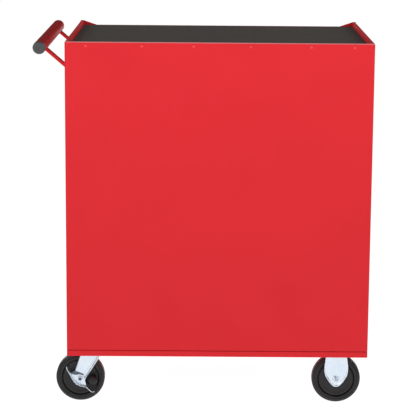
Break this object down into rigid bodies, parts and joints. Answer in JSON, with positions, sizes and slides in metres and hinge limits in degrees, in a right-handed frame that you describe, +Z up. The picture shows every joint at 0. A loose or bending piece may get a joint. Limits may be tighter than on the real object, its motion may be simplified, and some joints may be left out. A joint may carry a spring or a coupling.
{
  "type": "rolling tool chest",
  "caption": "Sheet-steel tool cabinet on casters with ball-bearing drawers, a sunk top tray with a rubber mat, and a tubular push handle on one side.",
  "frame": {"origin": "on the floor under the middle of the whole chest, handle included", "axes": "+Z up, drawers open towards -Y, push handle on the +X side, rear panel faces +Y"},
  "size_m": [0.8404, 0.577, 0.936],
  "materials": {
    "red_paint": "gloss powder coat",
    "handle_paint": "deep red gloss paint",
    "zinc": "bright zinc plate",
    "slide_steel": "zinc plated slides",
    "aluminium": "satin anodised",
    "wheel_rubber": "black moulded rubber",
    "mat_rubber": "matt foam rubber",
    "cap_plastic": "satin moulded",
    "chrome": "polished"
  },
  "bodies": {
    "cabinet": {"rear_panel": "red_paint", "side_panel_left": "red_paint", "side_panel_right": "red_paint", "top_tray": "red_paint", "top_mat": "mat_rubber", "base_pan": "red_paint", "front_frame": "red_paint", "lock_housing": "chrome", "handle_tube": "handle_paint", "handle_cap_rear": "cap_plastic", "handle_cap_front": "cap_plastic", "handle_arm_rear": "handle_paint", "handle_arm_front": "handle_paint", "slide_outer_1_left": "slide_steel", "slide_outer_1_right": "slide_steel", "slide_outer_2_left": "slide_steel", "slide_outer_2_right": "slide_steel", "slide_outer_3_left": "slide_steel", "slide_outer_3_right": "slide_steel", "slide_outer_4_left": "slide_steel", "slide_outer_4_right": "slide_steel", "slide_outer_5_left": "slide_steel", "slide_outer_5_right": "slide_steel", "swivel_rear_plate": "zinc", "rigid_rear_fork": "zinc", "rigid_rear_axle": "zinc", "swivel_front_plate": "zinc", "rigid_front_fork": "zinc", "rigid_front_axle": "zinc"},
    "drawer_1": {"drawer_box_1": "red_paint", "drawer_pull_1": "aluminium", "slide_inner_1_left": "slide_steel", "slide_inner_1_right": "slide_steel"},
    "drawer_2": {"drawer_box_2": "red_paint", "drawer_pull_2": "aluminium", "slide_inner_2_left": "slide_steel", "slide_inner_2_right": "slide_steel"},
    "drawer_3": {"drawer_box_3": "red_paint", "drawer_pull_3": "aluminium", "slide_inner_3_left": "slide_steel", "slide_inner_3_right": "slide_steel"},
    "drawer_4": {"drawer_box_4": "red_paint", "drawer_pull_4": "aluminium", "slide_inner_4_left": "slide_steel", "slide_inner_4_right": "slide_steel"},
    "drawer_5": {"drawer_box_5": "red_paint", "drawer_pull_5": "aluminium", "slide_inner_5_left": "slide_steel", "slide_inner_5_right": "slide_steel"},
    "swivel_rear_fork_body": {"swivel_rear_fork": "zinc", "swivel_rear_axle": "zinc"},
    "swivel_rear_wheel_body": {"swivel_rear_wheel": "wheel_rubber"},
    "swivel_rear_brake_body": {"swivel_rear_brake": "zinc"},
    "rigid_rear_wheel_body": {"rigid_rear_wheel": "wheel_rubber"},
    "swivel_front_fork_body": {"swivel_front_fork": "zinc", "swivel_front_axle": "zinc"},
    "swivel_front_wheel_body": {"swivel_front_wheel": "wheel_rubber"},
    "swivel_front_brake_body": {"swivel_front_brake": "zinc"},
    "rigid_front_wheel_body": {"rigid_front_wheel": "wheel_rubber"},
    "lock_plug_body": {"lock_plug": "chrome"}
  },
  "joints": [
    {"name": "drawer_1_slide", "type": "slide", "parent": "cabinet", "child": "drawer_1", "axis": [0, -1, 0], "range_m": [0, 0.38]},
    {"name": "drawer_2_slide", "type": "slide", "parent": "cabinet", "child": "drawer_2", "axis": [0, -1, 0], "range_m": [0, 0.38]},
    {"name": "drawer_3_slide", "type": "slide", "parent": "cabinet", "child": "drawer_3", "axis": [0, -1, 0], "range_m": [0, 0.38]},
    {"name": "drawer_4_slide", "type": "slide", "parent": "cabinet", "child": "drawer_4", "axis": [0, -1, 0], "range_m": [0, 0.38]},
    {"name": "drawer_5_slide", "type": "slide", "parent": "cabinet", "child": "drawer_5", "axis": [0, -1, 0], "range_m": [0, 0.38]},
    {"name": "swivel_rear_turn", "type": "hinge", "parent": "cabinet", "child": "swivel_rear_fork_body", "pos_m": [0.27425, 0.2155, 0.144], "axis": [0, 0, 1], "continuous": true},
    {"name": "swivel_rear_wheel_spin", "type": "hinge", "parent": "swivel_rear_fork_body", "child": "swivel_rear_wheel_body", "pos_m": [0.31225, 0.2155, 0.0625], "axis": [0, 1, 0], "continuous": true},
    {"name": "swivel_rear_brake_press", "type": "hinge", "parent": "swivel_rear_fork_body", "child": "swivel_rear_brake_body", "pos_m": [0.31225, 0.2155, 0.0625], "axis": [0, -1, 0], "range_deg": [0, 18]},
    {"name": "rigid_rear_wheel_spin", "type": "hinge", "parent": "cabinet", "child": "rigid_rear_wheel_body", "pos_m": [-0.34625, 0.2155, 0.0625], "axis": [0, 1, 0], "continuous": true},
    {"name": "swivel_front_turn", "type": "hinge", "parent": "cabinet", "child": "swivel_front_fork_body", "pos_m": [0.27425, -0.1975, 0.144], "axis": [0, 0, 1], "continuous": true},
    {"name": "swivel_front_wheel_spin", "type": "hinge", "parent": "swivel_front_fork_body", "child": "swivel_front_wheel_body", "pos_m": [0.31225, -0.1975, 0.0625], "axis": [0, 1, 0], "continuous": true},
    {"name": "swivel_front_brake_press", "type": "hinge", "parent": "swivel_front_fork_body", "child": "swivel_front_brake_body", "pos_m": [0.31225, -0.1975, 0.0625], "axis": [0, -1, 0], "range_deg": [0, 18]},
    {"name": "rigid_front_wheel_spin", "type": "hinge", "parent": "cabinet", "child": "rigid_front_wheel_body", "pos_m": [-0.34625, -0.1975, 0.0625], "axis": [0, 1, 0], "continuous": true},
    {"name": "lock_turn", "type": "hinge", "parent": "cabinet", "child": "lock_plug_body", "pos_m": [0.28175, -0.2705, 0.8985], "axis": [0, -1, 0], "range_deg": [0, 90]}
  ]
}
